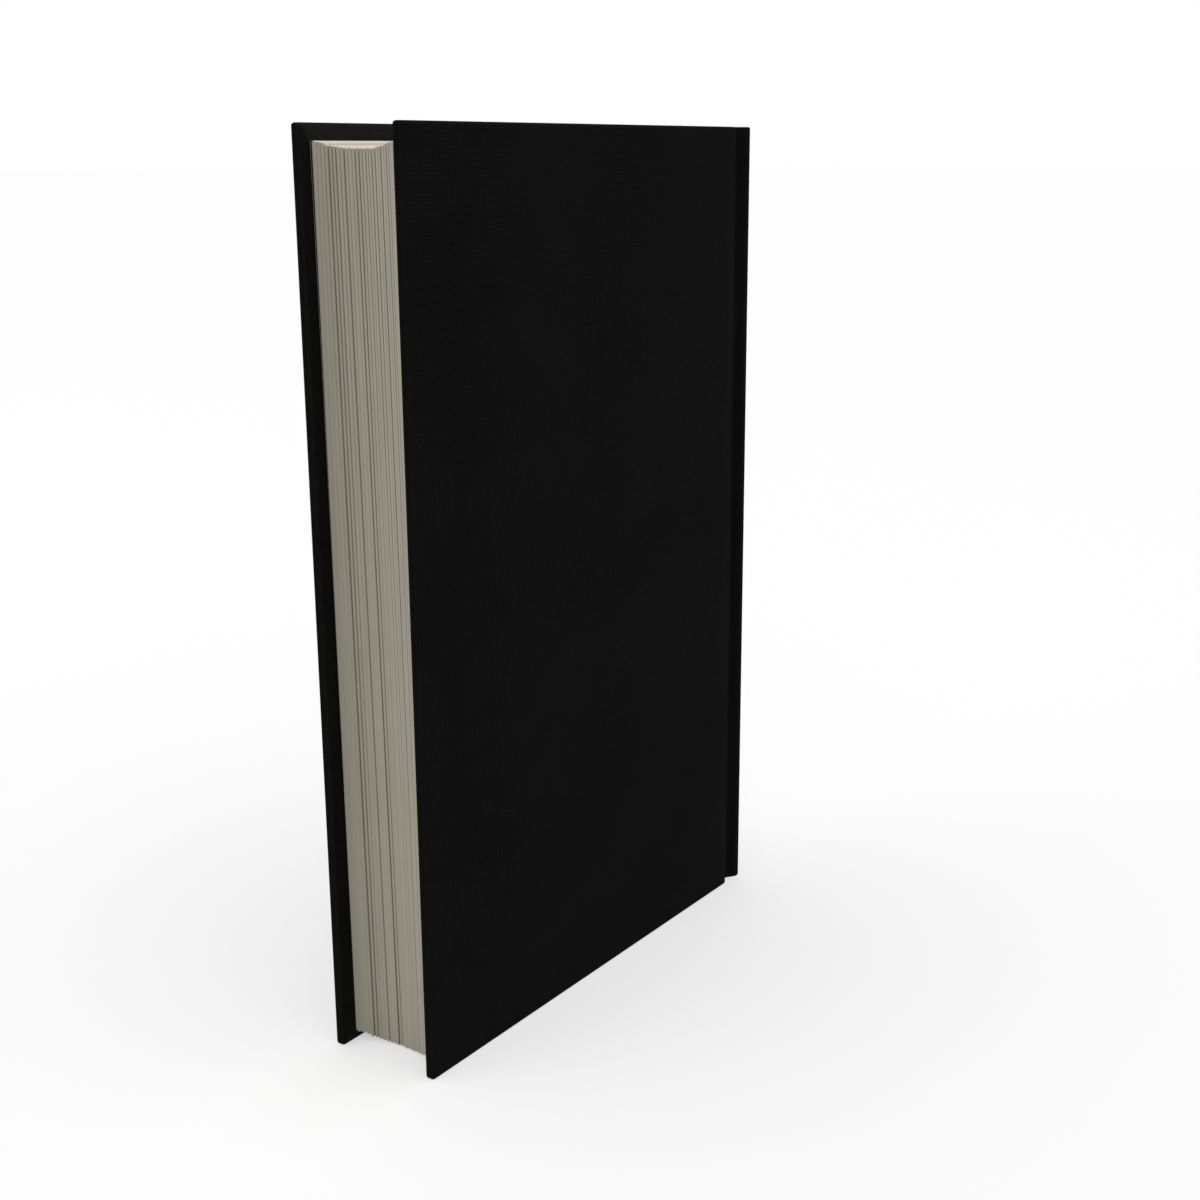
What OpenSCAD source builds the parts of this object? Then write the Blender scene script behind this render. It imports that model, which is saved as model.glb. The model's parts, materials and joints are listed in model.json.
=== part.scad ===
// Hardback book, closed and standing on its foot.
// A sewn text block, rounded and backed, hangs in a cloth-covered case with French joints.
// X runs through the thickness, Y from the fore-edge (-Y) to the spine (+Y), Z up.
// The origin is the middle of the foot. The front cover is at -X and the back cover at +X.

/* [Text block] */
// Height of the trimmed leaves
page_h = 234; // [150:1:320]
// Width of the leaves, from fold to trimmed edge
page_w = 153; // [100:1:240]
// Thickness of all the sections together
text_t = 27.5; // [18:0.5:50]
// Number of sewn sections
section_count = 27; // [12:1:32]
// How far the fore-edge is hollowed at its middle
fore_hollow = 4; // [2:0.1:5]
// How far the leaves sag at the middle of the fore-edge
leaf_sag = 1.85; // [0:0.05:2.2]
// Depth of the gap between two sections, on the fore-edge
fore_gap_d = 0.3; // [0.05:0.05:0.5]
// Depth of the gap between two sections, at head and foot
end_gap_d = 0.12; // [0.02:0.01:0.2]
// Width of the gap between two sections
section_gap_w = 0.3; // [0.1:0.05:0.5]
// How far the backed shoulders reach towards the spine
shoulder_run = 1.5; // [1:0.1:2.5]
// Over how much of its width the middle leaf fans out to the spine
fan_run = 9; // [4:0.5:20]

/* [Case] */
// How far the boards stand above the leaves
head_square = 4; // [2.5:0.1:6]
// How far the boards stand below the leaves
foot_square = 3; // [2.5:0.1:6]
// How far the boards stand out beyond the fore-edge
fore_square = 4.5; // [2.5:0.1:6]
// Thickness of the boards
board_t = 2.2; // [1.6:0.1:3.5]
// Thickness of the covering cloth
cloth_t = 0.35; // [0.2:0.05:0.5]
// Width of the cloth turned in round the edges
turn_in = 15; // [10:0.5:20]
// Thickness of the card in the spine
strip_t = 0.6; // [0.4:0.1:1.2]
// Rise of the rounded spine above the joints
spine_rise = 6.5; // [5:0.1:8]
// Rounding of the cloth over the edges of the boards
edge_r = 0.8; // [0.5:0.05:1]
// Rounding of the cloth over the ends of the spine
cap_r = 0.5; // [0.2:0.05:0.6]

/* [Joint] */
// Width of the joint, from the board to the shoulder
groove_w = 8; // [7.6:0.1:12]
// Width of the slope on the shoulder's side of the joint
shoulder_slope = 3.8; // [3.4:0.1:4.2]
// Width of the slope on the board's side of the joint
board_slope = 2.8; // [2.4:0.1:3.2]
// Distance from the cloth's fold line to the start of the spine cloth
fold_gap = 1; // [0.9:0.05:1.3]

/* [Papers and bands] */
// Thickness of a flyleaf
flyleaf_t = 0.2; // [0.1:0.05:0.3]
// Thickness of a pastedown
pastedown_t = 0.15; // [0.1:0.05:0.3]
// Thickness of the mull
mull_t = 0.3; // [0.2:0.05:0.4]
// Thickness of the glue between the folds of the sections and the mull
glue_t = 0.05; // [0.04:0.01:0.2]
// How far the mull reaches onto a board
mull_flap_w = 25; // [15:1:35]
// How far the mull stops short of the head and the foot of the leaves
mull_short = 12; // [8:0.5:20]
// Thickness of the paper lining on the spine
lining_t = 0.2; // [0.1:0.05:0.4]
// Thickness of a head band's bead
band_d = 1.8; // [1.2:0.1:2.4]
// Bare stretch between the mull and the tape of a head band
tape_gap = 2; // [0.5:0.5:4]

/* [Clearances] */
// Between a flyleaf and the pastedown of a closed cover
cover_gap = 0.3; // [0.3:0.05:0.6]
// Between the lining and the case over the spine
hollow_gap = 0.3; // [0.3:0.05:0.6]
// Between a shoulder and the papers that end beside it
shoulder_gap = 0.35; // [0.3:0.05:0.6]

/* [Hidden] */
$fn = 96;

paper = "#d8d0c0";
black_paper = "#18181a";
black_cloth = "#1c1b1c";
greyboard = "#8f877a";
cotton = "#e6e0d2";
kraft = "#b08a5c";
silk = "#242326";

// Faces from the middle of the book outwards, along X
leaves_x = text_t / 2;
flyleaf_x = leaves_x + flyleaf_t;
pastedown_x = flyleaf_x + cover_gap;
turn_in_x = pastedown_x + pastedown_t;
under_t = max(cloth_t, mull_t);
board_x = turn_in_x + under_t;
cloth_x = board_x + board_t;
cover_x = cloth_x + cloth_t;

// Radii of the spine, from the outside of the cloth inwards, about one axis
spine_r = (cover_x * cover_x + spine_rise * spine_rise) / (2 * spine_rise);
strip_r = spine_r - cloth_t;
strip_in_r = strip_r - strip_t;
hollow_r = strip_in_r - cloth_t;
lining_r = hollow_r - hollow_gap;
mull_r = lining_r - lining_t;
text_r = mull_r - mull_t - glue_t;
spine_a = asin(cover_x / spine_r);
tip_x = text_r * sin(spine_a);
text_rise = text_r * (1 - cos(spine_a));
skin_rise = (spine_r - text_r) * cos(spine_a);

// Places from the fore-edge to the spine, along Y
depth = fore_square + fore_hollow + page_w - text_rise + skin_rise + spine_rise;
fore_y = -depth / 2;
text_y = fore_y + fore_square;
tip_y = text_y + fore_hollow + page_w - text_rise;
shoulder_y = tip_y - shoulder_run;
hinge_y = tip_y + skin_rise;
spine_y = hinge_y - spine_r * cos(spine_a);
fold_y = hinge_y - fold_gap;
board_y = fold_y - groove_w;
papers_y = shoulder_y - shoulder_gap;

// Heights
foot_z = foot_square;
head_z = foot_square + page_h;
cover_h = head_z + head_square;

// Curves of the leaves

// Rows along a leaf: the share of its flat part, then the share of its fanned part
flat_rows = 6;
fan_rows = 5;
rows = concat(
    [for (k = [0 : flat_rows]) [k / flat_rows, 0]],
    [for (k = [1 : fan_rows]) [1, k / fan_rows]]
);

// Columns through the thickness: the place from -1 to 1, and 1 where two sections meet
gap_share = section_gap_w / text_t;
columns = concat(
    [[-1, 0]],
    [for (k = [1 : section_count - 1], side = [-1, 0, 1])
        [2 * k / section_count - 1 + side * gap_share, side == 0 ? 1 : 0]],
    [[1, 0]]
);

function hollow(u) = text_y + fore_hollow * (1 - u * u);
function back(u) = spine_y + sqrt(text_r * text_r - u * u * tip_x * tip_x);
function fan_start(u) = back(u) - shoulder_run - (1 - abs(u)) * fan_run;
function fan_x(u, t) = u * (leaves_x + (tip_x - leaves_x) * pow(t, 1.4));
function sag(u, s) = leaf_sag * (1 - pow(abs(u), 2.2)) * pow(1 - s, 1.5);

// A point on the leaf at u, in plan
function leaf_point(u, row, gap = 0) = let(
    start = hollow(u) + gap * (1 - row[0]),
    bend = fan_start(u),
    end = back(u)
) [fan_x(u, row[1]), start + (bend - start) * row[0] + (end - bend) * row[1]];

function leaf_drop(column, row) = sag(column[0], row[0]) + column[1] * end_gap_d * (1 - row[0]);
function raise(p, z) = [p[0], p[1], z];

// Strips of even thickness beside a path

function unit(v) = v / norm(v);
function across(path, k) = let(
    along = unit(path[min(k + 1, len(path) - 1)] - path[max(k - 1, 0)])
) [along[1], -along[0]];
function beside(path, t) = [for (k = [0 : len(path) - 1]) path[k] + t * across(path, k)];
function reversed(path) = [for (k = [len(path) - 1 : -1 : 0]) path[k]];
function strip(path, t) = concat(path, reversed(beside(path, t)));

// Outside of the cloth in the joint, from the fold line to the board
groove_steps = 24;
groove_floor_x = turn_in_x + mull_t + cloth_t;
function smooth(t) = let(c = min(max(t, 0), 1)) c * c * (3 - 2 * c);
function groove_x(d) = cover_x
    - (cover_x - groove_floor_x) * smooth(d / shoulder_slope) * smooth((groove_w - d) / board_slope);
groove = [for (k = [0 : groove_steps]) let(d = groove_w * k / groove_steps) [groove_x(d), fold_y - d]];

// Cloth of a cover in plan, round the joint, the board's outer face, its fore-edge and its inner face
corner_steps = 6;
folded_x = board_x - cloth_t;
function quarter(centre, start) = [for (k = [0 : corner_steps]) let(a = start - 90 * k / corner_steps)
    centre + edge_r * [cos(a), sin(a)]];
cover_outline = concat(
    groove,
    quarter([cover_x - edge_r, fore_y + edge_r], 0),
    quarter([folded_x + edge_r, fore_y + edge_r], -90),
    [[folded_x, board_y], [cloth_x, board_y]],
    [for (k = [groove_steps - 1 : -1 : 0]) groove[k] + cloth_t * across(groove, k)]
);

module rounded(size, r) {
    translate([r, 0]) square([size[0] - 2 * r, size[1]]);
    translate([0, r]) square([size[0], size[1] - 2 * r]);
    for (x = [r, size[0] - r], y = [r, size[1] - r]) translate([x, y]) circle(r);
}

module block(low, high) {
    translate(low) cube(high - low);
}

// A band round the spine between two radii and two heights
module spine_band(r_in, r_out, z_low, z_high) {
    translate([0, spine_y, z_low]) rotate([0, 0, 90 - spine_a])
        rotate_extrude(angle = 2 * spine_a) translate([r_in, 0]) square([r_out - r_in, z_high - z_low]);
}

module text_block() {
    n = len(rows);
    low = len(columns) * n;
    last = len(columns) - 1;
    head = [for (c = columns, r = rows) raise(leaf_point(c[0], r, c[1] * fore_gap_d), head_z - leaf_drop(c, r))];
    foot = [for (c = columns, r = rows) raise(leaf_point(c[0], r, c[1] * fore_gap_d), foot_z - leaf_drop(c, r))];
    cells = [for (i = [0 : last - 1], j = [0 : n - 2]) i * n + j];
    head_faces = [for (a = cells, f = [[a, a + 1, a + n + 1], [a, a + n + 1, a + n]]) f];
    foot_faces = [for (f = head_faces) [for (p = reversed(f)) p + low]];
    fore_faces = [for (i = [0 : last - 1]) let(a = i * n) [a + low, a, a + n, a + n + low]];
    back_faces = [for (i = [0 : last - 1]) let(a = i * n + n - 1) [a + n + low, a + n, a, a + low]];
    front_faces = [for (a = [0 : n - 2]) [a + 1 + low, a + 1, a, a + low]];
    rear_faces = [for (j = [0 : n - 2]) let(a = last * n + j) [a + low, a, a + 1, a + 1 + low]];
    color(paper) polyhedron(
        concat(head, foot),
        concat(head_faces, foot_faces, fore_faces, back_faces, front_faces, rear_faces)
    );
}

// The black leaf against the last section, as high as the leaves
module flyleaf() {
    path = [for (r = rows) leaf_point(1, r)];
    color(black_paper) translate([0, 0, foot_z]) linear_extrude(page_h) polygon(strip(path, flyleaf_t));
}

module spine_mull() {
    color(cotton) spine_band(mull_r - mull_t, mull_r, foot_z + mull_short, head_z - mull_short);
}

module spine_lining() {
    color(kraft) spine_band(mull_r, lining_r, foot_z, head_z);
}

// A bead on the end of the leaves, hanging from a tape between the leaves and the lining
module end_band() {
    bead_r = band_d / 2;
    bead_a = spine_a - asin(band_d / text_r);
    color(silk) {
        spine_band(mull_r - mull_t, mull_r, head_z - mull_short + tape_gap, head_z + bead_r / 2);
        translate([0, spine_y, head_z + bead_r]) rotate([0, 0, 90 - bead_a])
            rotate_extrude(angle = 2 * bead_a) translate([mull_r - bead_r, 0]) circle(bead_r);
    }
}

module spine_strip() {
    color(greyboard) spine_band(strip_in_r, strip_r, cloth_t, cover_h - cloth_t);
}

module spine_cloth() {
    color(black_cloth) difference() {
        translate([0, spine_y, 0]) rotate([0, 0, 90 - spine_a]) rotate_extrude(angle = 2 * spine_a)
            translate([hollow_r, 0]) rounded([spine_r - hollow_r, cover_h], cap_r);
        spine_strip();
        spine_band(hollow_r - 1, strip_in_r, turn_in, cover_h - turn_in);
    }
}

module board() {
    color(greyboard) block([board_x, fore_y + cloth_t, cloth_t], [cloth_x, board_y, cover_h - cloth_t]);
}

// Cloth round the board, turned in on its inside, and on through the joint to the fold line
module cover_cloth() {
    color(black_cloth) difference() {
        intersection() {
            linear_extrude(cover_h) polygon(cover_outline);
            rotate([90, 0, 0]) translate([folded_x, 0, -depth]) linear_extrude(2 * depth)
                rounded([cover_x - folded_x, cover_h], edge_r);
        }
        board();
        block([folded_x - 1, fore_y + turn_in, turn_in], [board_x, board_y, cover_h - turn_in]);
    }
}

// Black paper over the turned-in cloth and the mull, pasted down to the bare board between them
module pastedown() {
    low = [fore_y + turn_in, turn_in];
    high = [board_y - mull_flap_w, cover_h - turn_in];
    color(black_paper) difference() {
        union() {
            block([pastedown_x, text_y, foot_z], [turn_in_x, papers_y, head_z]);
            block([pastedown_x, low[0], low[1]], [board_x, high[0], high[1]]);
        }
        block(
            [pastedown_x - 1, low[0] + pastedown_t, low[1] + pastedown_t],
            [board_x - pastedown_t, high[0] - pastedown_t, high[1] - pastedown_t]
        );
    }
}

module mull_flap() {
    color(cotton) block(
        [turn_in_x, board_y - mull_flap_w, foot_z + mull_short],
        [turn_in_x + mull_t, papers_y, head_z - mull_short]
    );
}

module front() {
    mirror([1, 0, 0]) children();
}

text_block();
front() flyleaf();  // front_flyleaf
flyleaf();  // back_flyleaf
spine_mull();
spine_lining();
end_band();  // head_band
translate([0, 0, foot_z + head_z]) mirror([0, 0, 1]) end_band();  // tail_band
spine_strip();
spine_cloth();
front() board();  // front_board
front() cover_cloth();  // front_cloth
front() pastedown();  // front_pastedown
front() mull_flap();  // front_mull_flap
board();  // back_board
cover_cloth();  // back_cloth
pastedown();  // back_pastedown
mull_flap();  // back_mull_flap
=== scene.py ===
import json
import math

import bmesh
import bpy
import numpy as np
from mathutils import Matrix, Vector


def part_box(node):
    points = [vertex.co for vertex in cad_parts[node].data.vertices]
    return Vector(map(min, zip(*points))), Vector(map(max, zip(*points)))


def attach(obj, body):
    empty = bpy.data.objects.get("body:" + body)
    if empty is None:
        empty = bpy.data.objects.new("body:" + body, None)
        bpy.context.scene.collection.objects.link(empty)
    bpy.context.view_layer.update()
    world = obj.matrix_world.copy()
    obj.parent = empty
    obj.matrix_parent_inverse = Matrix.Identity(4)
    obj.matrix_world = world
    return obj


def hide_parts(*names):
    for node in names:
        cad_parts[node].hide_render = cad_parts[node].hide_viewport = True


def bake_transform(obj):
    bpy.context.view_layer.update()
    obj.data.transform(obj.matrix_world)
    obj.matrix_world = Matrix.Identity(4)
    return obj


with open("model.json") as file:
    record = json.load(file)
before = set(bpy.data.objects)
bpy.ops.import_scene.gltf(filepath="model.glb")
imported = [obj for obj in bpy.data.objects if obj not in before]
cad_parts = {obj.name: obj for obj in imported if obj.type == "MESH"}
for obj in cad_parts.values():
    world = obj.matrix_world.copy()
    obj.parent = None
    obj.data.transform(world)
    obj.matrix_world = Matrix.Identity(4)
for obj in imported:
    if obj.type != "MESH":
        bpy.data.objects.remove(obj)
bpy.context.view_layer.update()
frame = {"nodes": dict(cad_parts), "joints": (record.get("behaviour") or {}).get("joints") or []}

MM = 0.001

# Sizes of the case, read from the frame

cloth_low, cloth_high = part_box("back_cloth")
_, board_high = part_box("back_board")
_, flap_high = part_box("back_mull_flap")
pastedown_low, pastedown_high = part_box("back_pastedown")
_, spine_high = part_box("spine_cloth")
strip_low, strip_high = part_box("spine_strip")
hinge_y = next(j["pos_m"][1] for j in frame["joints"] if j["name"] == "back_cover_hinge")

cover_x = cloth_high.x
cover_h = cloth_high.z
cloth_t = cloth_high.x - board_high.x
folded_x = cloth_low.x
fore_y = cloth_low.y
board_y = board_high.y
fold_y = cloth_high.y
groove_w = fold_y - board_y
groove_floor_x = flap_high.x + cloth_t
spine_rise = spine_high.y - hinge_y
spine_r = (cover_x**2 + spine_rise**2) / (2 * spine_rise)
spine_y = spine_high.y - spine_r

# Sizes of the leaves and what is on them, read from the frame

_, text_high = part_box("text_block")
flyleaf_low, flyleaf_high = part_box("back_flyleaf")
_, mull_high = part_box("spine_mull")

leaves_x = flyleaf_low.x
tip_x = text_high.x
text_r = text_high.y - spine_y
text_y = flyleaf_low.y
foot_z = flyleaf_low.z
head_z = flyleaf_high.z
mull_r = mull_high.y - spine_y
tip_y = spine_y + math.sqrt(text_r**2 - tip_x**2)

# Sizes of the leaves that the frame's boxes don't give

SECTIONS = 27
HIGH_SECTIONS = 3            # those beside the front cover, which stand higher than the rest
HIGH_STEP = 0.2 * MM
HEIGHT_SPREAD = 0.26 * MM    # how much the sections differ in height
FORE_SPREAD = 0.16 * MM      # and in where their fore-edges end
MEETING_SPREAD = 0.15        # and in where they meet, as a share of a section
FORE_HOLLOW = 4 * MM
SECTION_BULGE = 0.15 * MM    # how far the middle of a section stands out at the fore-edge
HEAD_SAG = 1.85 * MM
STIFF_SHARE = 0.6            # share of that which the leaves beside the back cover lack
FOOT_SAG = 2.45 * MM
HEAD_LEAN = 1.2 * MM         # how much further forward the fore-edge stands at the head
HEAD_PINCH = 0.2 * MM        # how far each side of the fore-edge comes in at the head
SLANT = 8.3                  # how strongly the sections lean sideways
UPRIGHT_AT = 0.45            # share of the height at which they are in their own places
SCALLOP = 0.55 * MM          # how much shorter a section's outer leaves are at head and foot
BACK_SCALLOP = 0.25          # share of that which is left towards the back
BACK_FOLD = 0.25 * MM        # how far a section's outer leaves draw in at the back
HEAD_LINE_DEPTH = 2.6 * MM      # from the fore-edge to the painted shade line across the head
SHOULDER_RUN = 1.5 * MM      # depth of the part that turns out to the shoulder, in the outermost leaf
FAN_RUN = 9 * MM             # and how much more of it the middle leaves have
FAN_CURVE = 1.4              # how that part bends: 1 is straight
FLAT_ROWS = 0.6              # share of the rows of points that lie in front of it
FLAT_CROWDING = 2.4          # how much closer those rows lie near the fore-edge
GAPS_END = 1 / 12            # share of the leaves' flat part in which the gaps close
SCALLOP_END = 1 / 4          # and in which the scallops fade

# Gaps between sections, in tenths of a millimetre: what each has, what it has more at the head, and what
# some have more in places

CLOSED_GAP = 0.04
HEAD_GAP = 0.5
WAVY_GAP = 0.3
HALF_GAP = 0.05 * MM         # half of one tenth

# Gaps that stand open, in the same tenths: number of the gap from the front cover, its width at the foot
# and its width at the head

OPEN_GAPS = (
    (4, 1.9, 1.0), (5, 1.4, 0.6), (6, 0.25, 0.55), (8, 0.8, 0.75), (11, 2.6, 0.9), (12, 0.5, 0.5),
    (13, 0.0, 0.5), (14, 0.0, 0.3), (15, 0.0, 0.4), (16, 0.15, 0.45), (17, 0.0, 0.4), (18, 0.15, 0.0),
    (19, 0.4, 1.1), (21, 0.0, 0.4), (22, 0.0, 0.5),
)

# Sizes of the black papers beside the leaves

FLYLEAF_T = 0.2 * MM
FLYLEAF_SHARE = 0.8          # share of that thickness which the sheet has
FLYLEAF_CLEAR = 0.01 * MM
FLYLEAF_CURL = 0.3 * MM      # how far the free edge stands off at the head
LIP_T = 0.1 * MM
LIP_CLEAR = 0.06 * MM
LIP_REACH = 1.78 * MM        # from the shoulder's tip, over the ends of the layers on the spine
LIP_FOOT = 0.8               # where it ends on the leaves: share of the part that turns out
LIP_FOOT_OFF = Vector((0.1, -0.18)) * MM
CARD_PAPER_T = 0.03 * MM
CARD_PAPER_CLEAR = 0.02 * MM
CARD_PAPER_START = 1.1 * MM
FOLD_T = 0.12 * MM
FOLD_CLEAR = 0.03 * MM
FOLD_LIFT = 0.12 * MM        # how much further the fold stands off at the shoulder's tip

# Sizes of the cloth, and how pale its worn parts are: 0 is new, 1 is bare; on the head and foot turn-ins the
# paleness is partly painted light

SHOULDER_SLOPE = 3.8 * MM    # how far the cloth takes to sink from the shoulder into the joint
BOARD_SLOPE = 2.8 * MM       # and to rise again at the board
SHOULDER_R = 1.5 * MM
TURN_IN = 15 * MM
EDGE_R = 0.8 * MM
EDGE_SHARE = 0.42            # the most of its thickness that an edge is rounded
SPINE_T = 1.3 * MM
JOINT_T = 0.65 * MM
SKIN_T = 0.22 * MM
FAR = 1.0                    # inset of what lies nowhere near a fore-edge
EDGE_WEAR = 0.15
# The head and foot turn-ins are paler than their wear alone: painted light, for the light falling on the
# board's inner face above the leaves.
HEM_WEAR_AND_LIGHT = 0.62

# Sizes of the head and tail bands

BAND_D = 1.8 * MM
BAND_SHARE = 0.985           # share of the leaves' thickness that a band spans
BAND_TURNS = 64
SILK_T = 0.12 * MM
SILK_THREAD_R = 0.3 * MM

# Names of what the meshes carry for their materials

CLOTH_UV = "cloth"
LEAF = "leaf"
# Wear of the cloth, with painted light on its head and foot turn-ins and a partly painted highlight on the
# cut edges of the black paper.
RUB_AND_LIGHT = "rub"
# Painted shade between the sections.
GAP_SHADE = "groove"

bend_y = tip_y - SHOULDER_RUN


# Node trees written as expressions

class Value:
    """A number's socket in a node tree, on which Python's operators add Math nodes."""

    def __init__(self, nodes, socket):
        self.nodes = nodes
        self.socket = socket

    def math(self, operation, *others, clamp=False):
        settings = {"operation": operation, "use_clamp": clamp}
        return self.nodes.add("ShaderNodeMath", settings, dict(enumerate((self, *others))))

    def __add__(self, other):
        return self.math("ADD", other)

    def __radd__(self, other):
        return self + other

    def __sub__(self, other):
        return self.math("SUBTRACT", other)

    def __rsub__(self, other):
        return self * -1 + other

    def __mul__(self, other):
        return self.math("MULTIPLY", other)

    def __rmul__(self, other):
        return self * other

    def __truediv__(self, other):
        return self.math("DIVIDE", other)

    def __pow__(self, other):
        return self.math("POWER", other)

    def __abs__(self):
        return self.math("ABSOLUTE")

    def __gt__(self, other):
        return self.math("GREATER_THAN", other)

    def __lt__(self, other):
        return self.math("LESS_THAN", other)

    def sin(self):
        return self.math("SINE")

    def cos(self):
        return self.math("COSINE")

    def sqrt(self):
        return self.math("SQRT")

    def floor(self):
        return self.math("FLOOR")

    def clipped(self):
        return self.math("ADD", 0, clamp=True)

    def ramp(self, start, end):
        """0 below start, 1 above end, straight between."""
        return ((self - start) / (end - start)).clipped()

    def towards(self, other, share):
        """This value where share is 0, the other where it is 1."""
        return self + (other - self) * share


class Nodes:
    """Adds nodes to one tree: its settings go first, then each socket gets its value or its link."""

    def __init__(self, tree):
        self.tree = tree

    def add(self, kind, settings=None, sockets=None, output=0):
        node = self.tree.nodes.new(kind)
        for name, value in (settings or {}).items():
            setattr(node, name, value)
        for name, value in (sockets or {}).items():
            self.fill(node.inputs[name], value)
        found = node.outputs[output] if len(node.outputs) else None
        return Value(self, found) if found is not None and found.type in ("VALUE", "INT") else found

    def fill(self, socket, value):
        value = value.socket if isinstance(value, Value) else value
        if isinstance(value, bpy.types.NodeSocket):
            self.tree.links.new(value, socket)
        else:
            socket.default_value = value

    def parts(self, vector):
        """The three numbers of a vector."""
        node = self.tree.nodes.new("ShaderNodeSeparateXYZ")
        self.fill(node.inputs[0], vector)
        return [Value(self, s) for s in node.outputs]

    def vector(self, x, y, z):
        return self.add("ShaderNodeCombineXYZ", {}, {0: x, 1: y, 2: z})

    def noise(self, vector, scale=1.0, detail=2.0, roughness=0.5):
        """Noise from 0 to 1; the scale is in waves to a metre."""
        sockets = {"Vector": vector, "Scale": scale, "Detail": detail, "Roughness": roughness}
        return self.add("ShaderNodeTexNoise", {}, sockets)

    def mix(self, share, first, second, blend="MIX"):
        settings = {"data_type": "RGBA", "blend_type": blend}
        return self.add("ShaderNodeMix", settings, {0: share, 6: first, 7: second}, 2)

    def bump(self, height, distance, strength=1.0):
        sockets = {"Strength": strength, "Distance": distance, "Height": height}
        return self.add("ShaderNodeBump", {}, sockets)


def colour(red, green, blue):
    return (red, green, blue, 1)


def in_scene(name, data):
    """A new object in the scene, at the origin."""
    thing = bpy.data.objects.new(name, data)
    bpy.context.scene.collection.objects.link(thing)
    return thing


def new_material(name, **constants):
    """A material with one plain shader, whose constant values go on its own sockets."""
    material = bpy.data.materials.new(name)
    material.use_nodes = True
    shader = material.node_tree.nodes["Principled BSDF"]
    for socket, value in constants.items():
        shader.inputs[socket.replace("_", " ")].default_value = value
    return material, Nodes(material.node_tree), shader


# Materials

def book_cloth():
    """Plain-woven black cloth: threads that pass over and under, uneven yarn with painted shade in the
    hollows of the weave, lint, and pale worn edges, with painted light on the head and foot turn-ins.
    """
    thread = 0.62 * MM
    material, nodes, shader = new_material(
        "black_cloth", Specular_IOR_Level=0.015, Sheen_Weight=0.01, Sheen_Roughness=0.4
    )
    place = nodes.add("ShaderNodeUVMap", {"uv_map": CLOTH_UV})
    u, v, _ = nodes.parts(place)
    drift = nodes.noise(nodes.vector(u * 260, v * 260, 0), detail=1) - 0.5
    across = u / thread + drift * 0.9
    along = v / thread + drift * 0.7
    yarn_u = nodes.noise(nodes.vector(across.floor() * 3.7, v * 180, 0.5), detail=1)
    yarn_v = nodes.noise(nodes.vector(u * 180, along.floor() * 3.7, 7.5), detail=1)
    warp = abs((across * math.pi).sin())
    weft = abs((along * math.pi).sin())
    over = (across * math.pi).sin() * (along * math.pi).sin() > 0
    warp_h = warp * (0.55 + weft * 0.45) * (0.7 + yarn_u * 0.6)
    weft_h = weft * (0.55 + warp * 0.45) * (0.7 + yarn_v * 0.6)
    height = weft_h.towards(warp_h, over)
    cloudy = nodes.noise(nodes.vector(u * 28, v * 28, 3), detail=4, roughness=0.6)
    lint = nodes.noise(nodes.vector(u * 3000, v * 1100, 9), detail=2).ramp(0.70, 0.80)
    # rub is the cloth's wear, and on the head and foot turn-ins also painted light.
    rub = nodes.add("ShaderNodeAttribute", {"attribute_name": RUB_AND_LIGHT}, output="Fac")
    worn_and_lit = rub * nodes.noise(nodes.vector(u * 700, v * 700, 5), detail=4, roughness=0.65).ramp(0.1, 0.9)
    # Painted shade: the low parts of the weave are darker, as the shade in its hollows.
    yarn = nodes.mix(height.ramp(0.2, 1.0), colour(0.001, 0.001, 0.001), colour(0.009, 0.0088, 0.0086))
    tone = nodes.mix(cloudy.ramp(0.3, 0.7) * 0.35, yarn, colour(0.01, 0.0097, 0.01))
    dusty = nodes.mix(lint * 0.3, tone, colour(0.036, 0.034, 0.03))
    nodes.fill(shader.inputs["Base Color"], nodes.mix(worn_and_lit, dusty, colour(0.036, 0.035, 0.032)))
    nodes.fill(shader.inputs["Roughness"], 0.92 - height * 0.16)
    fuzz = nodes.noise(nodes.vector(u * 5200, v * 5200, 2), detail=2)
    nodes.fill(shader.inputs["Normal"], nodes.bump(height + fuzz * 0.25, 0.12 * MM, 0.75))
    return material


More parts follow.
